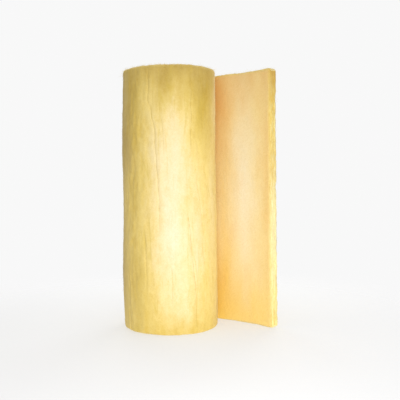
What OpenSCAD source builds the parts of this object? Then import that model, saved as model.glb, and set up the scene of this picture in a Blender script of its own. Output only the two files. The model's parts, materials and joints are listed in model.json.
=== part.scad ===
// Glass wool insulation blanket, wound into a roll that stands on its end.
// The outermost stretch stands off the roll as a free end and springs back to full thickness.
// The whole blanket is one piece. Every turn is a pair of half circles, a right one and a left one,
// about two centres a half pitch apart, which is how a strip winds outwards by one pitch a turn.
// Z is the roll's axis, and the roll stands on Z = 0.

/* [Blanket] */
// Width of the blanket, which is the height of the standing roll
blanket_w = 1200; // [600:50:1500]
// Full thickness that the blanket springs back to at its free end
free_t = 50; // [40:5:75]

/* [Roll] */
// Diameter of the open centre
bore_d = 70; // [50:2:100]
// Number of turns from the open centre to the outside
turns = 7; // [4:1:9]
// Thickness of one wound turn
turn_t = 24; // [16:1:32]
// Width of the slit between one turn and the next
slit_w = 2; // [1:1:4]
// Depth of that slit in each end of the roll
slit_depth = 18; // [6:2:60]

/* [Free end] */
// Direction, from +X towards +Y, of the line where the free end leaves the roll, in degrees
leave_angle = 65; // [40:5:100]
// Length of the free end, along its inner face
free_len = 470; // [250:10:600]
// Bend radius of the free end's inner face
free_bend_r = 1020; // [700:20:1500]

/* [Hidden] */
$fn = 180;

// What one turn adds to the roll's radius
pitch = turn_t + slit_w;
last_half = 2 * turns - 1;
// How far each cutting solid runs past the face it cuts
cut_over = 1;

// Inner face of half turn k: even ones lie at +X, odd ones at -X. Both centres are on the Y axis.
function half_r(k) = bore_d / 2 + k * pitch / 2;
function half_y(k) = (k % 2 == 0 ? -1 : 1) * pitch / 4;

// Where the free end's two faces leave the roll, both heading along +X
inner_y = half_y(last_half) + half_r(last_half);
outer_y = inner_y + turn_t;
// The free end's cut face, square to its inner face
bend_y = inner_y - free_bend_r;
bend_deg = free_len / free_bend_r * 180 / PI;
end_dir = [sin(bend_deg), cos(bend_deg)];
end_outer = [0, bend_y] + (free_bend_r + free_t) * end_dir;
// The circle that leaves along +X and meets the cut face's outer corner, to the nearest millimetre
end_drop = outer_y - end_outer.y;
outer_bend_r = round((end_outer.x ^ 2 + end_drop ^ 2) / (2 * end_drop));

// The half of the plane that half turn k lies in
module half_plane(k) {
    size = 2 * half_r(last_half + 4);
    translate([k % 2 == 0 ? 0 : -size, -size / 2]) square(size);
}

// Half disc out to the outer face of half turn k
module half_disc(k) {
    intersection() {
        translate([0, half_y(k)]) circle(half_r(k) + turn_t);
        half_plane(k);
    }
}

// Slit on the inner side of half turn k
module half_slit(k) {
    intersection() {
        translate([0, half_y(k)]) difference() {
            circle(half_r(k));
            circle(half_r(k) - slit_w);
        }
        half_plane(k);
    }
}

// Wedge between the leaving line and the cut face, seen from the centre of the inner face's bend
module free_end_wedge() {
    reach = free_bend_r + 4 * free_t;
    middle = [sin(bend_deg / 2), cos(bend_deg / 2)];
    translate([0, bend_y])
        polygon([[0, 0], [0, reach], reach * middle, reach * end_dir]);
}

// Free end in plan: between its outer and inner bends, from the leaving line to the cut face
module free_end_plan() {
    difference() {
        intersection() {
            translate([0, outer_y - outer_bend_r]) circle(outer_bend_r);
            free_end_wedge();
        }
        translate([0, bend_y]) circle(free_bend_r);
    }
}

// The blanket in plan, filled in at its open centre
module blanket_plan() {
    half_disc(last_half - 1);
    half_disc(last_half);
    free_end_plan();
}

// The line between the turns in plan, from the open centre to where the free end leaves
module slit_plan() {
    for (k = [1 : last_half]) half_slit(k);
    // The blanket's inner end, a cut from the open centre to the first slit
    translate([-slit_w, -half_r(0) - pitch / 4])
        square([slit_w, pitch / 4 + cut_over]);
}

module glass_wool_blanket() {
    color("khaki")
        rotate(leave_angle - 90)
        difference() {
            linear_extrude(blanket_w) blanket_plan();
            translate([0, 0, -cut_over])
                cylinder(h = blanket_w + 2 * cut_over, d = bore_d);
            for (z = [-cut_over, blanket_w - slit_depth])
                translate([0, 0, z])
                    linear_extrude(slit_depth + cut_over) slit_plan();
        }
}

glass_wool_blanket();
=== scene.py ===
"""The looks of the insulation roll: a glass wool blanket wound up on end, its outer end standing off.

The blanket is made the way the real one is, as a strip that winds outwards in a spiral. Everything on it
is placed in strip coordinates, in metres: s along its length, t through its thickness from the inner face,
and z across its width, which is the height. The mesh carries these and the places of creases and colour
patches as attributes, so that one material can draw the whole blanket.
"""

import json
import math

import bpy
import numpy as np
from mathutils import Euler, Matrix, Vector


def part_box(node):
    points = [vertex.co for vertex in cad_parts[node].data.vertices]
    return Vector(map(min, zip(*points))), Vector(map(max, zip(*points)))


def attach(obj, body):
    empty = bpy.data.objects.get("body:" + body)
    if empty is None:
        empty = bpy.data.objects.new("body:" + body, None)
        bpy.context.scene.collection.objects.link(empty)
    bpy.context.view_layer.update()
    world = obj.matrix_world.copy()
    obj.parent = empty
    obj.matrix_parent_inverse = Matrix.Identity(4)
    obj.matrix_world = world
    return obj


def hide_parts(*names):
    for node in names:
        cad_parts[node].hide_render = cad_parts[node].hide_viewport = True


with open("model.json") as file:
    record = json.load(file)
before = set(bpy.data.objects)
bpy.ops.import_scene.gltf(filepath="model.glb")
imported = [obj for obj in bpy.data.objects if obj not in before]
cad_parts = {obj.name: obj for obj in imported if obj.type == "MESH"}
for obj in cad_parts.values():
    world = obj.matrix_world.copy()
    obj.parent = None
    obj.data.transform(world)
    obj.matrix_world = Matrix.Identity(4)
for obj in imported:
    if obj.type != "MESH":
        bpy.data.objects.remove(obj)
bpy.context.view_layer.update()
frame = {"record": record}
NODE = "glass_wool_blanket"
LOW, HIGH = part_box(NODE)
MOUNTS = {mount["name"]: mount for mount in frame["record"]["mounts"]}

# The blanket, in metres. Its height and bore come from the frame, and the rest are the CAD part's sizes.
HEIGHT = HIGH.z - LOW.z
BORE_R = MOUNTS["centre_bore"]["dims"]["r_mm"] / 1000
TURNS = 7
TURN_T = 0.024
SLIT_W = 0.002
FREE_T = 0.050
FREE_LEN = 0.470
FREE_BEND_R = 1.020
LEAVE_ANGLE = math.radians(65)
PITCH = TURN_T + SLIT_W
LAST_HALF = 2 * TURNS - 1

# How soft the edges are, in metres
RIM_R = 0.013
SLIT_EDGE_R = 0.006
CUT_EDGE_R = 0.012

# How far the wool springs back proud of its cut edges, in metres
TOP_SPRING = 0.003
CUT_SPRING = 0.004

# Mesh spacing, in metres
FACE_STEP = 0.0040
FACE_ROW = 0.0084
FREE_STEP = 0.0046
INNER_STEP = 0.0034
BORE_ROW = 0.030
ARC_POINTS = 3
END_POINTS = 10

# Loose fibres: how many on the inner turns and on the last one, their radius, lengths and root depth in
# metres, the range of how far they lift and curl as a part of their length, and how rare they are on a face
FIBRE_COUNTS = (900, 5600)
FIBRE_R = 0.00028
FIBRE_LENGTHS = (0.008, 0.024)
FIBRE_ROOT = 0.0006
FIBRE_LIFTS = (0.10, 0.42)
FIBRE_CURLS = (-0.5, 0.5)
FIBRE_RINGS = 4
FACE_SHARE = 0.30

# Every random number and every noise layer starts from this
SEED = 20


# ---------------------------------------------------------------- noise

def lattice(ix, iy, seed):
    """A fixed random number from 0 to 1 for each whole-number point."""
    h = ix.astype(np.uint64) * np.uint64(0x9E3779B97F4A7C15)
    h ^= iy.astype(np.uint64) * np.uint64(0xC2B2AE3D27D4EB4F)
    h ^= np.uint64((seed * 7919 + 17) * 0x165667B19E3779F9 % 2**64)
    h ^= h >> np.uint64(29)
    h *= np.uint64(0xBF58476D1CE4E5B9)
    h ^= h >> np.uint64(32)
    return (h & np.uint64(0xFFFFFF)).astype(float) / 0xFFFFFF


def noise(x, y, seed):
    """Smooth noise from about -1 to 1, whose bumps are about one unit wide."""
    x, y = np.broadcast_arrays(np.asarray(x, float), np.asarray(y, float))
    ix, iy = np.floor(x).astype(np.int64), np.floor(y).astype(np.int64)
    fx, fy = x - ix, y - iy

    def corner(dx, dy):
        turn = lattice(ix + dx, iy + dy, seed) * 2 * math.pi
        return np.cos(turn) * (fx - dx) + np.sin(turn) * (fy - dy)

    ux, uy = (f * f * f * (f * (f * 6 - 15) + 10) for f in (fx, fy))
    low = corner(0, 0) * (1 - ux) + corner(1, 0) * ux
    high = corner(0, 1) * (1 - ux) + corner(1, 1) * ux
    return 1.6 * (low * (1 - uy) + high * uy)


def smooth(x, start, end):
    """0 before start and 1 after end, with a soft step between them."""
    f = np.clip((x - start) / (end - start), 0, 1)
    return f * f * (3 - 2 * f)


# ---------------------------------------------------------------- the strip's path in plan

def half_centre_y(k):
    """Half turn k is at +X where k is even and at -X where it is odd, and its centre is on the Y axis."""
    return (-1 if k % 2 == 0 else 1) * PITCH / 4


def half_inner_r(k):
    return BORE_R + k * PITCH / 2


def half_turn_columns(k, step):
    """How many steps of about this length half turn k takes along the middle of the blanket."""
    return round(math.pi * (max(half_inner_r(k), BORE_R) + TURN_T / 2) / step)


def wound_path(first, last, step):
    """Points on the inner face, outward directions and thickness along half turns first to last."""
    points, outward, thickness = [], [], []
    for k in range(first, last + 1):
        count = half_turn_columns(k, step)
        start = math.pi / 2 if k % 2 == 0 else -math.pi / 2
        angle = start - np.linspace(0, math.pi, count + (k == last), endpoint=k == last)
        centre_y = half_centre_y(k)
        to_bore = np.sqrt(BORE_R**2 - (centre_y * np.cos(angle)) ** 2) - centre_y * np.sin(angle)
        inner_r = np.maximum(half_inner_r(k), to_bore)
        out = np.stack([np.cos(angle), np.sin(angle)], 1)
        points.append(out * inner_r[:, None] + [0, centre_y])
        outward.append(out)
        thickness.append(half_inner_r(k) + TURN_T - inner_r)
    return np.concatenate(points), np.concatenate(outward), np.concatenate(thickness)


def free_path(length, step):
    """The same along the free end, from the line where it leaves the roll."""
    inner_y = half_centre_y(LAST_HALF) + half_inner_r(LAST_HALF)
    outer_y = inner_y + TURN_T
    bend_y = inner_y - FREE_BEND_R
    bend = FREE_LEN / FREE_BEND_R
    end_x = (FREE_BEND_R + FREE_T) * math.sin(bend)
    drop = outer_y - bend_y - (FREE_BEND_R + FREE_T) * math.cos(bend)
    outer_bend_r = (end_x**2 + drop**2) / (2 * drop)
    outer_bend_y = outer_y - outer_bend_r - bend_y
    angle = np.linspace(0, length / FREE_BEND_R, round(length / step) + 1)
    out = np.stack([np.sin(angle), np.cos(angle)], 1)
    to_outer = outer_bend_y * out[:, 1] + np.sqrt(outer_bend_r**2 - (outer_bend_y * out[:, 0]) ** 2)
    return out * FREE_BEND_R + [0, bend_y], out, to_outer - FREE_BEND_R


def turn_plan(xy):
    """From the part's own plan, where the free end leaves along +X, to the frame's."""
    turn = LEAVE_ANGLE - math.pi / 2
    c, s = math.cos(turn), math.sin(turn)
    return xy @ np.array([[c, s], [-s, c]])


# ---------------------------------------------------------------- relief

# Creases that winding has pressed into the outer face. Each has its depth and half width in metres and
# the line that it follows: heights, and degrees round the roll from where the free end leaves.
FRONT_CREASES = [
    (0.0023, 0.0050, [(1.20, 179), (1.05, 178), (0.90, 171), (0.76, 169), (0.60, 167), (0.46, 165)]),
    (0.0022, 0.0048, [(1.17, 127), (0.98, 126), (0.80, 128)]),
    (0.0028, 0.0050, [(0.56, 131), (0.42, 129), (0.30, 125), (0.16, 122), (0.04, 121)]),
    (0.0020, 0.0045, [(0.74, 121), (0.63, 117), (0.52, 112), (0.40, 109)]),
    (0.0022, 0.0050, [(0.47, 186), (0.34, 184), (0.20, 183)]),
    (0.0016, 0.0042, [(1.02, 164), (0.88, 160), (0.79, 161)]),
    (0.0014, 0.0042, [(0.34, 155), (0.22, 151), (0.12, 152)]),
]
# The creases on the rest of the side: how many, and the ranges that their lengths, places in degrees,
# depths and half widths are drawn from
OTHER_CREASES = 34
CREASE_LENGTHS = (0.15, 0.75)
CREASE_PLACES = (198, 455)
CREASE_DEPTHS = (0.0012, 0.0030)
CREASE_HALF_WIDTHS = (0.0038, 0.0062)

CREASE_POINTS = 40
CREASE_REACH = 0.008

# Soft patches of colour, which paint light and shade as well as the wool's own tone. Each has its kind and
# strength, its middle as a place and a height, and half its size along and up. On the outer face places are
# in degrees round the roll, as for the creases, and on the free end's inner face they are in metres from
# where it leaves the roll.
PALE, OLIVE, DUSK = range(3)
# On the outer face the wide pale patch at the front's middle is a painted highlight, and the olive and dusky
# patches along the top and down the left side are painted shade. An olive band makes the bottom darker. The
# smaller patches are partly the wool's own tone and partly painted light.
FRONT_TONE_AND_LIGHT_PATCHES = [
    (PALE, 0.90, 150, 0.46, 23, 0.34),
    (PALE, 0.45, 166, 0.80, 16, 0.22),
    (PALE, 0.60, 146, 0.84, 15, 0.20),
    (PALE, 0.50, 118, 0.42, 11, 0.26),
    (PALE, 0.35, 141, 0.14, 16, 0.12),
    (PALE, 0.30, 92, 0.55, 12, 0.30),
    (OLIVE, 0.80, 205, 1.06, 16, 0.26),
    (OLIVE, 0.85, 110, 1.02, 13, 0.15),
    (OLIVE, 0.80, 97, 1.12, 18, 0.14),
    (OLIVE, 0.95, 142, 1.22, 56, 0.13),
    (OLIVE, 0.70, 222, 0.86, 10, 0.09),
    (OLIVE, 0.35, 200, 0.62, 12, 0.14),
    (OLIVE, 0.45, 196, 0.22, 18, 0.16),
    (OLIVE, 0.60, 140, -0.02, 55, 0.13),
    (DUSK, 0.50, 142, 1.22, 60, 0.12),
    (DUSK, 0.62, 238, 1.00, 30, 0.32),
    (DUSK, 0.60, 240, 0.28, 30, 0.28),
    (DUSK, 0.30, 212, 0.80, 12, 0.10),
]
# On the free end's inner face every patch is painted light and shade: the pale ones are painted light in its
# middle, and the olive and dusky ones are painted shade near the roll, along the top and bottom, and towards
# the end.
INNER_LIGHT_AND_SHADE_PATCHES = [
    (PALE, 0.95, 0.31, 0.62, 0.085, 0.44),
    (OLIVE, 0.90, 0.14, 1.14, 0.080, 0.34),
    (OLIVE, 0.55, 0.30, 1.26, 0.30, 0.16),
    (OLIVE, 0.35, 0.47, 0.70, 0.040, 0.60),
    (DUSK, 0.75, 0.16, 0.08, 0.090, 0.34),
    (DUSK, 0.55, 0.34, 0.02, 0.20, 0.16),
    (PALE, 0.30, 0.15, 0.40, 0.035, 0.26),
]
# On the cut face the olive patches are painted shade towards the top, and the pale one is painted light lower
# down.
CUT_LIGHT_AND_SHADE_PATCHES = [
    (OLIVE, 0.90, 0.0, 1.20, 1.0, 0.17),
    (OLIVE, 0.35, 0.0, 0.80, 1.0, 0.10),
    (PALE, 0.60, 0.0, 0.45, 1.0, 0.36),
]
# The patches on the rest of the side: how many, the two ranges that their places in degrees are drawn from,
# and the ranges of their strengths and half sizes
OTHER_PATCHES = 40
BACK_PLACES = (250, 490)
NOOK_PLACES = (-10, 68)
PATCH_STRENGTHS = (0.25, 0.60)
PATCH_HALF_LENGTHS = (0.05, 0.13)
PATCH_HALF_HEIGHTS = (0.12, 0.32)

# Slow swells and hollows of the roll's side: how far proud in metres, then placed like the patches
SIDE_SWELLS = [
    (0.0092, 238, 0.27, 40, 0.25),
    (0.0050, 234, 0.82, 26, 0.14),
    (-0.0050, 236, 1.20, 34, 0.12),
]

# Where the wool is crumpled most: how much more uneven than elsewhere, then placed like the patches
CRUMPLES = [
    (1.7, 202, 0.90, 18, 0.34),
    (1.4, 207, 0.30, 15, 0.30),
    (1.2, 118, 0.95, 10, 0.28),
    (1.8, 300, 0.60, 50, 0.55),
    (1.6, 400, 0.65, 50, 0.55),
]

# Relief as layers of smooth noise: each layer's height, its bumps' sizes in the two directions that bumps()
# is given, all in metres, and the layer's own seed. On the faces the directions are s and z.
FACE_LAYERS = [
    (0.0018, 0.270, 0.550, 2),
    (0.0018, 0.070, 0.340, 3),
    (0.0014, 0.034, 0.060, 4),
    (0.0006, 0.013, 0.021, 5),
]
PUCKER_LAYERS = [
    (0.0016, 0.020, 0.075, 10),
    (0.0008, 0.011, 0.030, 11),
]
INNER_LAYERS = [
    (0.0014, 0.140, 0.400, 6),
    (0.0004, 0.024, 0.040, 7),
]
# Beside the cut, and on the cut face, the directions are z and s, and z and t
RAGGED_LAYERS = [
    (0.0032, 0.045, 0.090, 16),
    (0.0012, 0.018, 0.030, 17),
]
CUT_LAYERS = [
    (0.0030, 0.240, 0.0800, 12),
    (0.0030, 0.040, 0.0240, 13),
    (0.0016, 0.110, 0.0065, 14),
    (0.0013, 0.020, 0.0060, 15),
]
# On the roll's ends the directions are s and t, and the wool's layers show on edge
END_LAYERS = [
    (0.0016, 0.055, 0.0300, 1),
    (0.0012, 0.070, 0.0042, 2),
    (0.0009, 0.017, 0.0034, 3),
]
# How high and how long the roll's ends rise and fall, and how far up they are worn on the lower end
END_LEVEL = (0.0026, 0.33)
LOWER_WEAR = 0.0012


def roll_s(degrees, s_start):
    """The place along the strip that lies this many degrees round the roll's last turn."""
    right_r, left_r = (half_inner_r(k) + TURN_T / 2 for k in (LAST_HALF - 1, LAST_HALF))
    right = np.minimum(degrees, 180) * math.pi / 180 * right_r
    left = np.maximum(degrees - 180, 0) * math.pi / 180 * left_r
    return s_start + right + left


def bumps(layers, along, across, seed=SEED):
    """The height of all the layers together at each point."""
    return sum(
        height * noise(along / length, across / width, seed + own)
        for height, length, width, own in layers
    )


def crease_wander(heights, i):
    """How far crease i strays to either side at these heights, in metres."""
    line = i + 0.5
    return 0.0045 * noise(heights / 0.060, line, SEED + 18) + 0.0018 * noise(heights / 0.022, line, SEED + 19)


def creases(s_start):
    """Every crease as (depth, half width, heights, places along the strip)."""
    found = []
    for i, (depth, half_width, line) in enumerate(FRONT_CREASES):
        heights, degrees = np.array(sorted(line), float).T
        fine = np.linspace(heights[0], heights[-1], CREASE_POINTS)
        place = roll_s(np.interp(fine, heights, degrees), s_start) + crease_wander(fine, i)
        found.append((depth, half_width, fine, place))
    rng = np.random.default_rng(SEED)
    for i in range(OTHER_CREASES):
        length = rng.uniform(*CREASE_LENGTHS)
        low = rng.uniform(-0.1, HEIGHT - length + 0.1)
        up = np.linspace(0, 1, CREASE_POINTS)
        heights = low + length * up
        place = roll_s(rng.uniform(*CREASE_PLACES), s_start) + rng.uniform(-0.012, 0.012) * (2 * up - 1)
        place += 0.007 * noise(heights / 0.11, i + 0.5, SEED + 1) + crease_wander(heights, i)
        found.append((rng.uniform(*CREASE_DEPTHS), rng.uniform(*CREASE_HALF_WIDTHS), heights, place))
    return found


def crease_depth(s, z, lines):
    """How deep the creases are at each point and how far the wool beside them bulges, in metres.

    It also gives the two values that the material draws a crease's fine line of painted shade from: how far
    across it the point is, and how strong it is there.
    """
    depth, bulge, across, strength = (np.zeros_like(s) for _ in range(4))
    for deepest, half_width, heights, place in lines:
        off = s - np.interp(z, heights, place)
        low, high = heights[0], heights[-1]
        fade = smooth(z, low - 0.03, low + 0.06) * (1 - smooth(z, high - 0.06, high + 0.03))
        depth = np.maximum(depth, deepest * fade * np.exp(-((off / half_width) ** 2)))
        bulge = np.maximum(bulge, deepest * fade * np.exp(-((off / half_width / 3.2) ** 2)))
        near = fade * deepest / CREASE_DEPTHS[1] * np.clip(1 - abs(off) / CREASE_REACH, 0, 1)
        across = np.where(near > strength, off / CREASE_REACH, across)
        strength = np.maximum(strength, near)
    return depth, bulge, across, strength


def face_patches(s_start):
    """The outer face's colour patches, the listed ones partly painted light and shade and the others the
    wool's own tone, with their places and lengths in metres along the strip.
    """
    found = place_on_side(FRONT_TONE_AND_LIGHT_PATCHES, s_start)
    rng = np.random.default_rng(SEED + 1)
    for i in range(OTHER_PATCHES):
        place = roll_s(rng.uniform(*(BACK_PLACES if i % 3 else NOOK_PLACES)), s_start)
        half_size = (rng.uniform(*PATCH_HALF_LENGTHS), rng.uniform(*PATCH_HALF_HEIGHTS))
        kind = OLIVE if i % 5 == 0 else PALE
        found.append((kind, rng.uniform(*PATCH_STRENGTHS), place, rng.uniform(0, HEIGHT), *half_size))
    return found


def inner_face_light_and_shade(s_leave):
    """The free end's inner face's patches of painted light and shade, with their places in metres along the
    whole strip.
    """
    return [(kind, strength, s_leave + place, *rest) for kind, strength, place, *rest in INNER_LIGHT_AND_SHADE_PATCHES]


def patch_tone(s, z, patches):
    """How strong each kind of colour patch is at each point, with the patches' edges made to wander."""
    s = s + 0.018 * noise(s / 0.07, z / 0.16, SEED + 40) + 0.006 * noise(s / 0.02, z / 0.06, SEED + 42)
    z = z + 0.060 * noise(s / 0.06, z / 0.20, SEED + 41)
    clear = np.ones((3, *s.shape))
    for kind, strength, *where in patches:
        clear[kind] *= 1 - strength * patch_weight(s, z, *where)
    return np.moveaxis(1 - clear, 0, -1)


def place_on_side(patches, s_start):
    """Patches given by degrees round the roll, with their places and lengths in metres along the strip."""
    round_r = half_inner_r(LAST_HALF)
    return [
        (*first, roll_s(degrees, s_start), height, math.radians(half_degrees) * round_r, half_height)
        for *first, degrees, height, half_degrees, half_height in patches
    ]


def patch_weight(s, z, place, height, half_length, half_height):
    return np.exp(-((s - place) / half_length) ** 2 - ((z - height) / half_height) ** 2)


def face_relief(s, z, swells, crumples):
    """How far the outer face stands proud: waves, folds and lumps, then swells, then crumpled wool."""
    swell = sum(proud * patch_weight(s, z, *where) for proud, *where in swells)
    uneven = sum(more * patch_weight(s, z, *where) for more, *where in crumples)
    return bumps(FACE_LAYERS, s, z) + swell + uneven * bumps(PUCKER_LAYERS, s, z)


def ragged_edge(s, z, end):
    """How the outer face bulges and sinks beside the cut, which the knife has left uneven."""
    near = smooth(s, end - 0.07, end - 0.01)
    return near * (0.0015 + bumps(RAGGED_LAYERS, z, s))


def slit_relief(s, seed):
    """How the faces of two turns wander towards and away from each other, under half a slit each way."""
    wander = noise(s / 0.045, 0.5, seed) + 0.3 * noise(s / 0.011, 0.5, seed + 1)
    return 0.45 * SLIT_W * np.clip(wander, -1, 1)


def end_relief(s, t, seed):
    """Relief of the blanket's long cut edges, at the two ends of the roll."""
    height, length = END_LEVEL
    return height * noise(s / length, 0.5, seed) + bumps(END_LAYERS, s, t, seed)


def cut_relief(t, z):
    """The same for the cut face at the free end, whose layers run up and down."""
    return CUT_SPRING + bumps(CUT_LAYERS, z, t)


# ---------------------------------------------------------------- the strip as a closed mesh

def arc(points=ARC_POINTS + 2):
    a = np.linspace(0, math.pi / 2, points)
    return np.cos(a), np.sin(a)


def section(thickness, face_rows, end_points):
    """The outline round the strip at each column, from the middle of its lower outer edge.

    Gives t and z as columns by points, the outward normal's two parts for each point, and the four
    sides' lengths in points: outer face, top, inner face and bottom.
    """
    thick = thickness[:, None]
    soft = np.minimum(1, 0.9 * thick / (RIM_R + SLIT_EDGE_R))
    opened = smooth(thick, TURN_T + 0.002, TURN_T + 0.014)
    rim, edge = RIM_R * soft, SLIT_EDGE_R * soft + (RIM_R - SLIT_EDGE_R) * opened
    c, s = arc()
    rows = np.linspace(0, 1, face_rows + 2)[1:-1]
    across = np.linspace(0, 1, end_points + 2)[1:-1]
    flat = np.ones_like
    parts = [
        (thick * flat(rows), RIM_R + rows * (HEIGHT - 2 * RIM_R) + 0 * thick, flat(rows), 0 * rows),
        (thick - rim * (1 - c), HEIGHT - rim * (1 - s), c, s),
        (thick - rim - across * (thick - rim - edge), HEIGHT + 0 * thick * across, 0 * across, flat(across)),
        (edge * (1 - s), HEIGHT - edge * (1 - c), -s, c),
        (0 * thick * rows, HEIGHT - edge - rows * (HEIGHT - 2 * edge), -flat(rows), 0 * rows),
        (edge * (1 - c), edge * (1 - s), -c, -s),
        (edge + across * (thick - rim - edge), 0 * thick * across, 0 * across, -flat(across)),
        (thick - rim * (1 - s), rim * (1 - c), s, -c),
    ]
    t, z = (np.concatenate([part[i] for part in parts], 1) for i in (0, 1))
    nt, nz = (np.concatenate([part[i] for part in parts]) for i in (2, 3))
    half_arc = (len(c) + 1) // 2
    lengths = [n + 2 * half_arc - 1 for n in (face_rows, end_points, face_rows, end_points)]
    t, z = (np.roll(a, half_arc, 1) for a in (t, z))
    nt, nz = (np.roll(a, half_arc) for a in (nt, nz))
    return t, z, nt, nz, lengths


def relief_along(place, t, z, nt, nz, proud_out, proud_in, lines, swells, crumples):
    """How far each point moves along its normal, and the values for the creases' fine lines.

    proud_out and proud_in are, for each column, 1 where that face is open to view and 0 in a slit.
    """
    s = place[:, None] + 0 * t
    depth, bulge, across, strength = crease_depth(s, z, lines)
    out, inside = proud_out[:, None], proud_in[:, None]
    outer = face_relief(s, z, swells, crumples) + ragged_edge(s, z, place[-1]) + 0.5 * bulge - depth
    outer = out * outer + (1 - out) * slit_relief(s, SEED + 8)
    inner = inside * bumps(INNER_LAYERS, s, z) + (1 - inside) * slit_relief(s, SEED + 9)
    top = TOP_SPRING + end_relief(s, t, SEED + 20)
    bottom = np.minimum(0, end_relief(s, t, SEED + 30) - LOWER_WEAR)
    facing = [np.maximum(part, 0) ** 2 for part in (nt, -nt, nz, -nz)]
    move = sum(f * relief for f, relief in zip(facing, (outer, inner, top, bottom)))
    return move, np.stack([across, strength * out * facing[0], 0 * s], 2)


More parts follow.
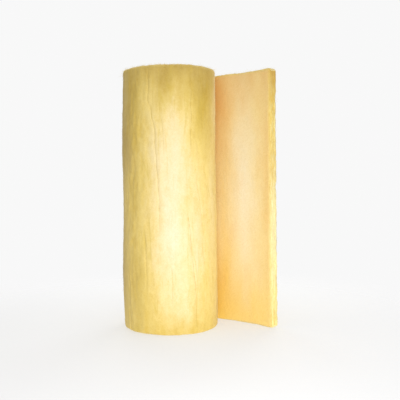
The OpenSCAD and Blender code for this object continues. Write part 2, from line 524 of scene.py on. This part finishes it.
class Strip:
    """A stretch of the wound blanket as a closed mesh: a column of points round it at each step along it."""

    def __init__(self, path, s_start, face_rows, end_points):
        self.points, self.outward, self.thickness = path
        self.t, self.z, self.nt, self.nz, self.lengths = section(self.thickness, face_rows, end_points)
        middle = self.points + self.outward * self.thickness[:, None] / 2
        steps = np.linalg.norm(np.diff(middle, axis=0), axis=1)
        self.place = s_start + np.concatenate([[0], np.cumsum(steps)])
        self.lean = np.zeros(len(self.points))
        self.present = np.ones(self.t.shape, bool)
        self.in_slit = np.ones(len(self.points), bool)
        self.face_rows = face_rows

    def side(self, n):
        """The points between the two edges on side n: 0 is the outer face and 2 is the inner face."""
        first = sum(self.lengths[:n]) + (ARC_POINTS + 3) // 2
        return slice(first, first + self.face_rows)

    def thin_out(self, n, columns):
        """Leaves out side n's points in these columns, where nothing is seen."""
        self.present[columns, self.side(n)] = False

    def round_off(self):
        """Adds the columns that round the edges of the cut face."""
        turn = np.linspace(0, math.pi / 2, ARC_POINTS + 2)[1:]
        ahead = CUT_EDGE_R * np.sin(turn)
        inset = CUT_EDGE_R * (1 - np.cos(turn))[:, None]
        last = self.points[-1] + ahead[:, None] * self.along()[-1]
        self.points = np.concatenate([self.points, last])
        self.place = np.concatenate([self.place, self.place[-1] + ahead])
        self.lean = np.concatenate([self.lean, turn])
        self.t = np.concatenate([self.t, self.t[-1] - inset * self.nt])
        self.z = np.concatenate([self.z, self.z[-1] - inset * self.nz])
        for name in ("outward", "present", "in_slit"):
            kept = getattr(self, name)
            setattr(self, name, np.concatenate([kept, np.repeat(kept[-1:], len(turn), 0)]))

    def along(self):
        """The direction in plan in which the strip runs on at each column."""
        return np.stack([self.outward[:, 1], -self.outward[:, 0]], 1)

    def shape(self, proud_out, proud_in, lines, swells, crumples, outer_patches, inner_patches):
        """Works out every point's place, its normal, and the values that the material reads."""
        faced = (self.place, self.t, self.z, self.nt, self.nz, proud_out, proud_in)
        move, self.crease = relief_along(*faced, lines, swells, crumples)
        flat, tip = np.cos(self.lean)[:, None], np.sin(self.lean)[:, None]
        ahead = tip * cut_relief(self.t, self.z)
        out = (self.t + flat * move * self.nt)[..., None] * self.outward[:, None]
        plan = self.points[:, None] + out + ahead[..., None] * self.along()[:, None]
        height = self.z + flat * move * self.nz
        self.world = np.concatenate([turn_plan(plan), height[..., None]], 2)
        normal = (flat * self.nt)[..., None] * self.outward[:, None] + tip[..., None] * self.along()[:, None]
        self.normal = np.concatenate([turn_plan(normal), (flat * self.nz)[..., None]], 2)
        self.strip = np.stack([self.place[:, None] + 0 * self.t, self.t, self.z], 2)
        cut = np.maximum(tip**2, self.nz**2 + 0 * self.t)
        inner = (1 - cut) * (self.nt < 0)
        self.side_mix = np.stack([inner, cut, self.nz**2 + 0 * cut], 2)
        s = self.strip[..., 0]
        outer_tone = patch_tone(s, self.z, outer_patches)
        inner_tone = patch_tone(s, self.z, inner_patches)
        face_tone = np.where(self.nt[:, None] > 0, outer_tone, inner_tone) * (1 - cut)[..., None]
        self.tone = face_tone + (tip**2)[..., None] * patch_tone(self.t, self.z, CUT_LIGHT_AND_SHADE_PATCHES)

    def seen_values(self):
        """What the material reads at each point, as the mesh's attributes.

        strip is s, t and z. side is how far the point is on the inner face, on a cut edge, and on one of
        the roll's two ends. crease is how far across a crease it is, and how strong that crease is, for its
        line of painted shade. tone is the strengths of the three kinds of colour patch, which paint light and
        shade as well as tone.
        """
        values = {"strip": self.strip, "side": self.side_mix, "crease": self.crease, "tone": self.tone}
        return {label: value[self.present] for label, value in values.items()}

    def faces(self):
        """Every face between the columns, as lists of point numbers."""
        number = np.full(self.present.shape, -1)
        number[self.present] = np.arange(self.present.sum())
        self.number = number
        beside, ahead = np.roll(number, -1, 1), number[1:]
        quads = np.stack([number[:-1], beside[:-1], beside[1:], ahead], 2).reshape(-1, 4)
        found = quads[(quads >= 0).all(1)].tolist()
        for n in (0, 2):
            rows = self.side(n)
            span = slice(rows.start - 1, rows.stop + 1)
            thin = ~self.present[:, rows.start]
            for i in np.nonzero(thin[:-1] | thin[1:])[0]:
                ring = np.concatenate([number[i, span], number[i + 1, span][::-1]])
                found.append(ring[ring >= 0].tolist())
        return found

    def plain_cap(self, column):
        """The hidden face that closes the strip at its first or last column."""
        ring = self.number[column][self.present[column]].tolist()
        return ring[::-1] if column == 0 else ring

    def cut_cap(self):
        """The cut face: new points across it, and its faces."""
        corner = np.concatenate([[0], np.cumsum(self.lengths)])
        ring = np.append(np.arange(corner[-1]), 0)
        outer, top, inner, bottom = (ring[corner[n]:corner[n + 1] + 1] for n in range(4))
        edge = np.stack([self.t[-1], self.z[-1]], 1)
        u = np.linspace(0, 1, len(top))[:, None, None]
        v = np.linspace(0, 1, len(outer))[None, :, None]
        left, right, low, high = edge[outer], edge[inner[::-1]], edge[bottom[::-1]], edge[top]
        grid = (1 - u) * left[None] + u * right[None] + (1 - v) * low[:, None] + v * high[:, None]
        grid -= (1 - v) * ((1 - u) * left[0] + u * right[0]) + v * ((1 - u) * left[-1] + u * right[-1])
        number = np.full(grid.shape[:2], -1)
        number[0], number[-1] = self.number[-1][outer], self.number[-1][inner[::-1]]
        number[:, 0], number[:, -1] = self.number[-1][bottom[::-1]], self.number[-1][top]
        new = number < 0
        number[new] = self.present.sum() + np.arange(new.sum())
        t, z = grid[new].T
        along, outward = self.along()[-1], self.outward[-1]
        plan = self.points[-1] + t[:, None] * outward + cut_relief(t, z)[:, None] * along
        self.cap_world = np.column_stack([turn_plan(plan), z])
        self.cap_strip = np.column_stack([np.full_like(t, self.place[-1]), t, z])
        corners = [number[:-1, :-1], number[:-1, 1:], number[1:, 1:], number[1:, :-1]]
        return np.stack(corners, 2).reshape(-1, 4).tolist()


def make_mesh(name, points, faces, values):
    """A smooth mesh object that carries the values for the material as attributes."""
    mesh = bpy.data.meshes.new(name)
    mesh.from_pydata(points, [], faces)
    mesh.shade_smooth()
    for label, value in values.items():
        attribute = mesh.attributes.new(label, "FLOAT_VECTOR", "POINT")
        attribute.data.foreach_set("vector", np.asarray(value, np.float32).ravel())
    piece = bpy.data.objects.new(name, mesh)
    bpy.context.scene.collection.objects.link(piece)
    return piece


def inner_turns():
    """Every turn but the last, from the lip at the open centre. Only its two ends and the bore are seen."""
    strip = Strip(wound_path(-1, LAST_HALF - 2, INNER_STEP), 0, round(HEIGHT / BORE_ROW), END_POINTS)
    bore_columns = sum(half_turn_columns(k, INNER_STEP) for k in (-1, 0))
    strip.thin_out(0, slice(None))
    strip.thin_out(2, slice(bore_columns + 1, None))
    hidden = np.zeros(len(strip.points))
    strip.shape(hidden, hidden, [], [], [], [], [])
    faces = strip.faces() + [strip.plain_cap(0), strip.plain_cap(-1)]
    return make_mesh("wool_inner_turns", strip.world[strip.present], faces, strip.seen_values()), strip


def last_turn(s_start):
    """The last turn and the free end, with the cut face."""
    wound = wound_path(LAST_HALF - 1, LAST_HALF, FACE_STEP)
    free = free_path(FREE_LEN - CUT_EDGE_R, FREE_STEP)
    leave = len(wound[0]) - 1
    path = [np.concatenate([a[:-1], b]) for a, b in zip(wound, free)]
    strip = Strip(path, s_start, round(HEIGHT / FACE_ROW), END_POINTS)
    strip.thin_out(2, slice(0, leave))
    strip.in_slit[leave:] = False
    strip.round_off()
    s_leave = strip.place[leave]
    proud_out = smooth(strip.place, s_start + 0.005, s_start + 0.11)
    proud_in = smooth(strip.place, s_leave, s_leave + 0.08)
    swells, crumples = (place_on_side(rows, s_start) for rows in (SIDE_SWELLS, CRUMPLES))
    patches = (face_patches(s_start), inner_face_light_and_shade(s_leave))
    strip.shape(proud_out, proud_in, creases(s_start), swells, crumples, *patches)
    faces = strip.faces() + [strip.plain_cap(0)] + strip.cut_cap()
    values = strip.seen_values()
    t, z = strip.cap_strip[:, 1:].T
    none = np.zeros((len(t), 3))
    tone = patch_tone(t, z, CUT_LIGHT_AND_SHADE_PATCHES)
    cap = {"strip": strip.cap_strip, "side": none + [0, 1, 0], "crease": none, "tone": tone}
    values = {label: np.concatenate([value, cap[label]]) for label, value in values.items()}
    points = np.concatenate([strip.world[strip.present], strip.cap_world])
    return make_mesh("wool_last_turn", points, faces, values), strip


def fibre_roots(strips, counts, rng):
    """Where the loose fibres grow from: so many points picked from each strip, mostly along its edges."""
    found = []
    for strip, count in zip(strips, counts):
        edge = np.maximum(abs(strip.nz) + 0 * strip.t, np.sin(strip.lean)[:, None])
        off_middle = abs(strip.z - HEIGHT / 2)
        near_edge = np.maximum(edge > 0.05, smooth(off_middle, HEIGHT / 2 - 0.03, HEIGHT / 2 - 0.01))
        hidden = ~strip.present | (strip.world[..., 2] < FIBRE_LENGTHS[1])
        hidden |= (strip.nz < 0) | ((edge < 0.05) & (strip.nt < 0) & strip.in_slit[:, None])
        weight = np.where(hidden, 0, np.where(near_edge, 1.0, FACE_SHARE)).ravel()
        picked = rng.choice(weight.size, count, replace=False, p=weight / weight.sum())
        values = (strip.world, strip.normal, strip.strip, strip.side_mix, strip.tone)
        found.append([value.reshape(-1, 3)[picked] for value in values])
    return [np.concatenate(parts) for parts in zip(*found)]


def loose_fibres(strips, counts):
    """Wisps that have worked loose.

    Each is a thin tapered strand with three sides, which lies along the surface and curls away from it.
    """
    rng = np.random.default_rng(SEED + 2)
    root, normal, place, side, tone = fibre_roots(strips, counts, rng)
    normal = normal / np.linalg.norm(normal, axis=1)[:, None]
    count = len(root)
    lie = np.cross(normal, rng.normal(size=(count, 3)))
    lie /= np.linalg.norm(lie, axis=1)[:, None]
    across = np.cross(normal, lie)
    length = rng.uniform(*FIBRE_LENGTHS, (count, 1))
    lift = rng.uniform(*FIBRE_LIFTS, (count, 1))
    curl = rng.uniform(*FIBRE_CURLS, (count, 1))
    rings = []
    for f in np.linspace(0, 1, FIBRE_RINGS):
        middle = root + length * (f * lie + curl * f**2 * across + lift * f**1.6 * normal)
        middle = middle - FIBRE_ROOT * (1 - f) * normal
        radius = FIBRE_R * (1 - 0.7 * f)
        for turn in (0, 2 * math.pi / 3, 4 * math.pi / 3):
            rings.append(middle + radius * (math.cos(turn) * across + math.sin(turn) * normal))
    points = np.stack(rings, 1)
    first = np.arange(count)[:, None] * 3 * FIBRE_RINGS
    faces = [first + [2, 1, 0], first + 3 * (FIBRE_RINGS - 1) + [0, 1, 2]]
    for ring in range(FIBRE_RINGS - 1):
        for a, b in ((0, 1), (1, 2), (2, 0)):
            faces.append(first + 3 * ring + [a, b, b + 3, a + 3])
    faces = [face for group in faces for face in group.tolist()]
    each = 3 * FIBRE_RINGS
    values = {"strip": place, "side": side, "crease": 0 * place, "tone": tone}
    values = {label: np.repeat(value, each, 0) for label, value in values.items()}
    return make_mesh("wool_loose_fibres", points.reshape(-1, 3), faces, values)


inner_piece, inner_strip = inner_turns()
last_piece, last_strip = last_turn(inner_strip.place[-1])
fibre_piece = loose_fibres((inner_strip, last_strip), FIBRE_COUNTS)

for piece in (inner_piece, last_piece):
    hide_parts(NODE)
for piece in (inner_piece, last_piece, fibre_piece):
    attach(piece, "root")


# ---------------------------------------------------------------- material

# The wool's colours in screen values: the plain colour, then the pale, olive and dusky patches, which
# paint light and shade as well as tone. The cut edges' plain colour is a ramp over the wool's layers.
FACE_TONE_AND_LIGHT_COLOURS = ((244, 219, 136), (250, 236, 209), (210, 180, 78), (180, 156, 110))
INNER_TONE_AND_LIGHT_COLOURS = ((252, 229, 166), (254, 246, 224), (232, 182, 108), (252, 212, 92))
CUT_TONE_AND_LIGHT_COLOURS = ([(0.36, (226, 186, 80)), (0.46, (246, 217, 114)), (0.60, (253, 240, 174))],
               (253, 244, 204), (206, 166, 78), (194, 168, 116))
END_COLOUR = (255, 243, 186)
# Painted shade along the wrinkles
WRINKLE_SHADE_COLOUR = (214, 188, 88)
# Painted shade at the bottom of the creases
CREASE_SHADE_COLOUR = (192, 164, 74)
BLUSH_COLOUR = (243, 202, 140)

# Tints that darken the wool where they are below white: bands across the width, and the felted fibres
BAND_TINTS = [(0.38, (239, 230, 182)), (0.50, (251, 248, 234)), (0.60, (255, 255, 255))]
FIBRE_TINTS = [(0.50, (233, 223, 180)), (0.62, (250, 247, 235)), (0.72, (255, 255, 255))]


def add(tree, kind, inputs=None, **settings):
    """A new node, with its settings and its inputs: numbers, colours or other nodes' outputs."""
    node = tree.nodes.new(kind)
    for name, value in settings.items():
        setattr(node, name, value)
    for name, value in (inputs or {}).items():
        if isinstance(value, bpy.types.NodeSocket):
            tree.links.new(value, node.inputs[name])
        else:
            node.inputs[name].default_value = value
    return node


def colour(red, green, blue):
    """A colour given in screen values from 0 to 255."""
    values = (v / 255 for v in (red, green, blue))
    return (*(v / 12.92 if v <= 0.04045 else ((v + 0.055) / 1.055) ** 2.4 for v in values), 1)


def scaled(tree, strip, size, turn=0):
    """The strip's coordinates, turned by so many degrees and counted in steps of this size in metres."""
    inputs = {"Vector": strip, "Rotation": (0, math.radians(turn), 0), "Scale": size}
    return add(tree, "ShaderNodeMapping", inputs, vector_type="TEXTURE").outputs[0]


def stretched_noise(tree, strip, size, detail=3.0, turn=0, roughness=0.55):
    """Noise over the strip's coordinates whose bumps have this size in metres, turned by so many degrees."""
    spot = scaled(tree, strip, size, turn)
    inputs = {"Vector": spot, "Scale": 1.0, "Detail": detail, "Roughness": roughness}
    return add(tree, "ShaderNodeTexNoise", inputs).outputs["Fac"]


def bent(tree, strip, size, reach):
    """The strip's coordinates, pushed about by up to this many metres, so that what they draw wanders."""
    spot = scaled(tree, strip, size)
    push = add(tree, "ShaderNodeTexNoise", {"Vector": spot, "Scale": 1.0, "Detail": 3.0}).outputs["Color"]
    push = add(tree, "ShaderNodeVectorMath", {0: push, 1: (0.5, 0.5, 0.5)}, operation="SUBTRACT").outputs[0]
    push = add(tree, "ShaderNodeVectorMath", {0: push, "Scale": 2 * reach}, operation="SCALE").outputs[0]
    return add(tree, "ShaderNodeVectorMath", {0: strip, 1: push}, operation="ADD").outputs[0]


def ramp(tree, factor, stops):
    """Colours along a factor, from (place, colour) pairs."""
    node = add(tree, "ShaderNodeValToRGB", {"Fac": factor})
    ends = node.color_ramp.elements
    while len(ends) < len(stops):
        ends.new(0.5)
    for end, (place, value) in zip(ends, stops):
        end.position = place
        end.color = colour(*value)
    return node.outputs[0]


def math_node(tree, operation, *values, clamp=False):
    """A number worked out from other numbers or nodes' outputs."""
    inputs = dict(enumerate(values))
    return add(tree, "ShaderNodeMath", inputs, operation=operation, use_clamp=clamp).outputs[0]


def mix(tree, factor, low, high, blend="MIX"):
    """A colour from low to high. Its two colour inputs share a name, so they are found by number."""
    node = add(tree, "ShaderNodeMix", {"Factor": factor}, data_type="RGBA", blend_type=blend)
    for socket, value in ((6, low), (7, high)):
        if isinstance(value, bpy.types.NodeSocket):
            tree.links.new(value, node.inputs[socket])
        else:
            node.inputs[socket].default_value = value
    return node.outputs[2]


def attribute(tree, label):
    """One of the mesh's own vectors, whole and as its three parts."""
    vector = add(tree, "ShaderNodeAttribute", attribute_name=label).outputs["Vector"]
    return vector, add(tree, "ShaderNodeSeparateXYZ", {"Vector": vector}).outputs


def in_patches(tree, base, tone, patches):
    """The base colour with the three kinds of patch over it."""
    for strength, patch in zip(tone, patches):
        base = mix(tree, strength, base, colour(*patch))
    return base


def between(tree, value, low, high, start=0.0, end=1.0):
    """A value from start at low to end at high, with soft corners."""
    inputs = {"Value": value, "From Min": low, "From Max": high, "To Min": start, "To Max": end}
    return add(tree, "ShaderNodeMapRange", inputs, interpolation_type="SMOOTHSTEP").outputs[0]


def wrinkle_lines(tree, strip):
    """Fine wrinkles that run up the outer face and come and go: a mask for painted shade along them and for
    the bump.
    """
    spot = bent(tree, strip, (0.11, 0.11, 0.33), 0.03)
    spot = add(tree, "ShaderNodeMapping", {"Vector": spot, "Scale": (26, 4, 1.5)}).outputs[0]
    cells = add(tree, "ShaderNodeTexVoronoi", {"Vector": spot, "Scale": 1.0}, feature="DISTANCE_TO_EDGE")
    line = between(tree, cells.outputs[0], 0.0, 0.06, 1.0, 0.0)
    shown = between(tree, stretched_noise(tree, strip, (0.07, 0.07, 0.14), 2), 0.46, 0.60)
    return math_node(tree, "MULTIPLY", line, shown)


def crease_shade_lines(tree, strip, crease):
    """The fine dark line of painted shade at the bottom of each crease, which thins and breaks here and
    there.
    """
    off = math_node(tree, "ABSOLUTE", crease[0])
    line = between(tree, off, 0.03, 0.34, 1.0, 0.0)
    strength = math_node(tree, "MULTIPLY", crease[1], 1.25, clamp=True)
    worn = between(tree, stretched_noise(tree, strip, (0.03, 0.03, 0.045), 3), 0.36, 0.56, 0.35, 1.0)
    return math_node(tree, "MULTIPLY", math_node(tree, "MULTIPLY", line, strength), worn)


def crossed(tree, strip, size, turns, detail=2.0):
    """Long bumps of this size that cross each other at these angles, as felted fibres do."""
    layers = [stretched_noise(tree, strip, size, detail, turn) for turn in turns]
    highest = layers[0]
    for layer in layers[1:]:
        highest = math_node(tree, "MAXIMUM", highest, layer)
    return highest


def weighted(tree, *parts):
    """The sum of values, each times its weight."""
    total = None
    for value, weight in parts:
        value = math_node(tree, "MULTIPLY", value, weight)
        total = value if total is None else math_node(tree, "ADD", total, value)
    return total


def outer_face(tree, strip, loose, mottle, crease, tone):
    """The outer face's colour: soft patches, some of them painted light and shade, bands across the width,
    and painted shade along the wrinkles and crease lines.

    Also gives the wrinkles and the crease lines, which the bump follows too.
    """
    plain, *patches = FACE_TONE_AND_LIGHT_COLOURS
    face = in_patches(tree, colour(*plain), tone, patches)
    bands = stretched_noise(tree, loose, (0.034, 0.034, 0.24), 3)
    stripe = ramp(tree, weighted(tree, (bands, 0.50), (mottle, 0.50)), BAND_TINTS)
    face = mix(tree, between(tree, tone[PALE], 0.1, 0.9, 0.54, 0.32), face, stripe, "MULTIPLY")
    faint = between(tree, tone[PALE], 0.1, 0.9, 1.0, 0.35)
    wrinkles = math_node(tree, "MULTIPLY", wrinkle_lines(tree, strip), faint)
    # Painted shade along the wrinkles, fainter in the pale patches
    face = mix(tree, math_node(tree, "MULTIPLY", wrinkles, 0.38), face, colour(*WRINKLE_SHADE_COLOUR))
    # Painted shade: a dark line at the bottom of each crease
    lines = crease_shade_lines(tree, strip, crease)
    face = mix(tree, math_node(tree, "MULTIPLY", lines, 0.42), face, colour(*CREASE_SHADE_COLOUR))
    return face, wrinkles, lines


def inner_face(tree, loose, tone):
    """The inner face's colour: smooth and warmer, with a soft blush and patches of painted light and shade.
    """
    plain, *patches = INNER_TONE_AND_LIGHT_COLOURS
    inner = in_patches(tree, colour(*plain), tone, patches)
    blush = stretched_noise(tree, loose, (0.09, 0.09, 0.20), 3)
    return mix(tree, between(tree, blush, 0.45, 0.70, 0.0, 0.20), inner, colour(*BLUSH_COLOUR))


def cut_edges(tree, loose, mottle, side, tone):
    """The cut edges' colour: layers of wool seen on edge, paler on the roll's two ends, with painted shade
    towards the top of the cut face and painted light lower down.
    """
    plain, *patches = CUT_TONE_AND_LIGHT_COLOURS
    layers = stretched_noise(tree, loose, (0.060, 0.0032, 0.080), 4)
    cut = ramp(tree, weighted(tree, (layers, 0.65), (mottle, 0.35)), plain)
    cut = in_patches(tree, cut, tone, patches)
    return mix(tree, between(tree, side[2], 0.7, 1.0, 0.0, 0.55), cut, colour(*END_COLOUR))


def wool_material():
    """Glass wool: its colour with some painted light and shade, and a bump of felted fibres, over the three
    kinds of surface.
    """
    material = bpy.data.materials.new("glass_wool")
    material.use_nodes = True
    tree = material.node_tree
    tree.nodes.clear()
    strip = attribute(tree, "strip")[0]
    side = attribute(tree, "side")[1]
    crease = attribute(tree, "crease")[1]
    tone = attribute(tree, "tone")[1]
    loose = bent(tree, strip, (0.05, 0.05, 0.07), 0.012)
    mottle = stretched_noise(tree, loose, (0.017, 0.017, 0.030), 4, roughness=0.6)
    clumps = crossed(tree, loose, (0.0034, 0.004, 0.026), (12, -38, 71, 48))
    fibres = crossed(tree, loose, (0.0011, 0.0020, 0.012), (8, 63, -52))

    face, wrinkles, lines = outer_face(tree, strip, loose, mottle, crease, tone)
    base = mix(tree, side[0], face, inner_face(tree, loose, tone))
    base = mix(tree, side[1], base, cut_edges(tree, loose, mottle, side, tone))
    felt = ramp(tree, weighted(tree, (clumps, 0.5), (fibres, 0.5)), FIBRE_TINTS)
    base = mix(tree, 0.50, base, felt, "MULTIPLY")

    height = weighted(tree, (clumps, 0.9), (fibres, 0.35), (mottle, 0.8), (lines, -0.8), (wrinkles, -0.35))
    bump = add(tree, "ShaderNodeBump", {"Height": height, "Strength": 0.40, "Distance": 0.003})
    shader = add(tree, "ShaderNodeBsdfPrincipled", {
        "Base Color": base, "Normal": bump.outputs[0], "Roughness": 0.95,
        "Specular IOR Level": 0.15, "Sheen Weight": 0.10, "Sheen Roughness": 0.6,
    })
    add(tree, "ShaderNodeOutputMaterial", {"Surface": shader.outputs[0]})
    return material


wool = wool_material()
for piece in (inner_piece, last_piece, fibre_piece):
    piece.data.materials.append(wool)


# ---------------------------------------------------------------- studio

# The floor's radius, and where it starts and ends fading out, in metres. It glows a little, so that it
# reaches the background's tone with soft light alone.
FLOOR_R = 2.0
FLOOR_SIDES = 64
FLOOR_FADE = (0.6, 1.9)
FLOOR_TONE = 0.42
FLOOR_GLOW = 0.50

# Each light's name, place and target, its size in metres, and its power in watts
LIGHTS = [
    ("key", (0.30, -2.1, 0.42), (0.08, 0, 0.42), (0.8, 0.6), 20),
    ("fill", (1.9, -1.9, 0.30), (0.20, 0, 0.30), (0.9, 0.6), 11),
    ("back", (1.3, 2.6, 1.5), (0.1, 0, 0.6), (1.5, 1.5), 26),
    ("back_left", (-0.9, 2.8, 1.1), (0, 0, 0.6), (1.2, 1.2), 16),
    ("above", (0, 0, 3.2), (0, 0, 1.2), (1.0, 1.0), 10),
]
# How bright the soft light from all round is, and the tone of the background
ROOM_LIGHT = 0.57
BACKGROUND_TONE = 0.94

# The camera: its place in metres, how far it looks down and leans in degrees, and its lens in millimetres
CAMERA_PLACE = (0.136, -2.935, 0.686)
CAMERA_DOWN = 1.75
CAMERA_LEAN = 0.69
CAMERA_LENS = 55.5
CAMERA_SENSOR = 36


def grey(tone):
    return (tone, tone, tone, 1)


def studio_floor():
    """A pale disc that fades out into the background, so that no horizon shows."""
    turns = [2 * math.pi * side / FLOOR_SIDES for side in range(FLOOR_SIDES)]
    edge = [(FLOOR_R * math.cos(turn), FLOOR_R * math.sin(turn), 0) for turn in turns]
    mesh = bpy.data.meshes.new("floor")
    mesh.from_pydata(edge, [], [range(FLOOR_SIDES)])
    floor = bpy.data.objects.new("floor", mesh)
    bpy.context.scene.collection.objects.link(floor)
    material = bpy.data.materials.new("pale_floor")
    material.use_nodes = True
    tree = material.node_tree
    tree.nodes.clear()
    spot = add(tree, "ShaderNodeTexCoord").outputs["Object"]
    out = add(tree, "ShaderNodeVectorMath", {0: spot}, operation="LENGTH").outputs["Value"]
    fade = add(tree, "ShaderNodeMapRange", {
        "Value": out, "From Min": FLOOR_FADE[0], "From Max": FLOOR_FADE[1],
    }, interpolation_type="SMOOTHERSTEP").outputs[0]
    pale = add(tree, "ShaderNodeBsdfPrincipled", {
        "Base Color": grey(FLOOR_TONE), "Roughness": 0.9,
        "Emission Color": grey(1), "Emission Strength": FLOOR_GLOW,
    }).outputs[0]
    clear = add(tree, "ShaderNodeBsdfTransparent").outputs[0]
    both = add(tree, "ShaderNodeMixShader", {0: fade, 1: pale, 2: clear}).outputs[0]
    add(tree, "ShaderNodeOutputMaterial", {"Surface": both})
    mesh.materials.append(material)


def area_light(name, location, target, size, power):
    """A soft rectangular light that the camera doesn't see."""
    data = bpy.data.lights.new(name, "AREA")
    data.shape = "RECTANGLE"
    data.size, data.size_y = size
    data.energy = power
    lamp = bpy.data.objects.new(name, data)
    lamp.location = location
    lamp.rotation_euler = (Vector(target) - Vector(location)).to_track_quat("-Z", "Y").to_euler()
    lamp.visible_camera = False
    bpy.context.scene.collection.objects.link(lamp)


def studio_lights():
    """The lights, and a room that lights the roll softly and is seen as a plain pale background."""
    for light in LIGHTS:
        area_light(*light)
    world = bpy.data.worlds.new("studio")
    world.use_nodes = True
    tree = world.node_tree
    tree.nodes.clear()
    soft = add(tree, "ShaderNodeBackground", {"Color": grey(1), "Strength": ROOM_LIGHT}).outputs[0]
    seen = add(tree, "ShaderNodeBackground", {"Color": grey(BACKGROUND_TONE), "Strength": 1.0}).outputs[0]
    straight = add(tree, "ShaderNodeLightPath").outputs["Is Camera Ray"]
    both = add(tree, "ShaderNodeMixShader", {0: straight, 1: soft, 2: seen}).outputs[0]
    add(tree, "ShaderNodeOutputWorld", {"Surface": both})
    bpy.context.scene.world = world
    bpy.context.scene.view_settings.view_transform = "Standard"


def photo_camera():
    """The camera, which looks along +Y from the roll's front."""
    data = bpy.data.cameras.new("camera")
    data.sensor_width = CAMERA_SENSOR
    data.lens = CAMERA_LENS
    camera = bpy.data.objects.new("camera", data)
    camera.location = CAMERA_PLACE
    camera.rotation_euler = Euler((math.radians(90 - CAMERA_DOWN), math.radians(CAMERA_LEAN), 0))
    bpy.context.scene.collection.objects.link(camera)
    bpy.context.scene.camera = camera


studio_floor()
studio_lights()
photo_camera()
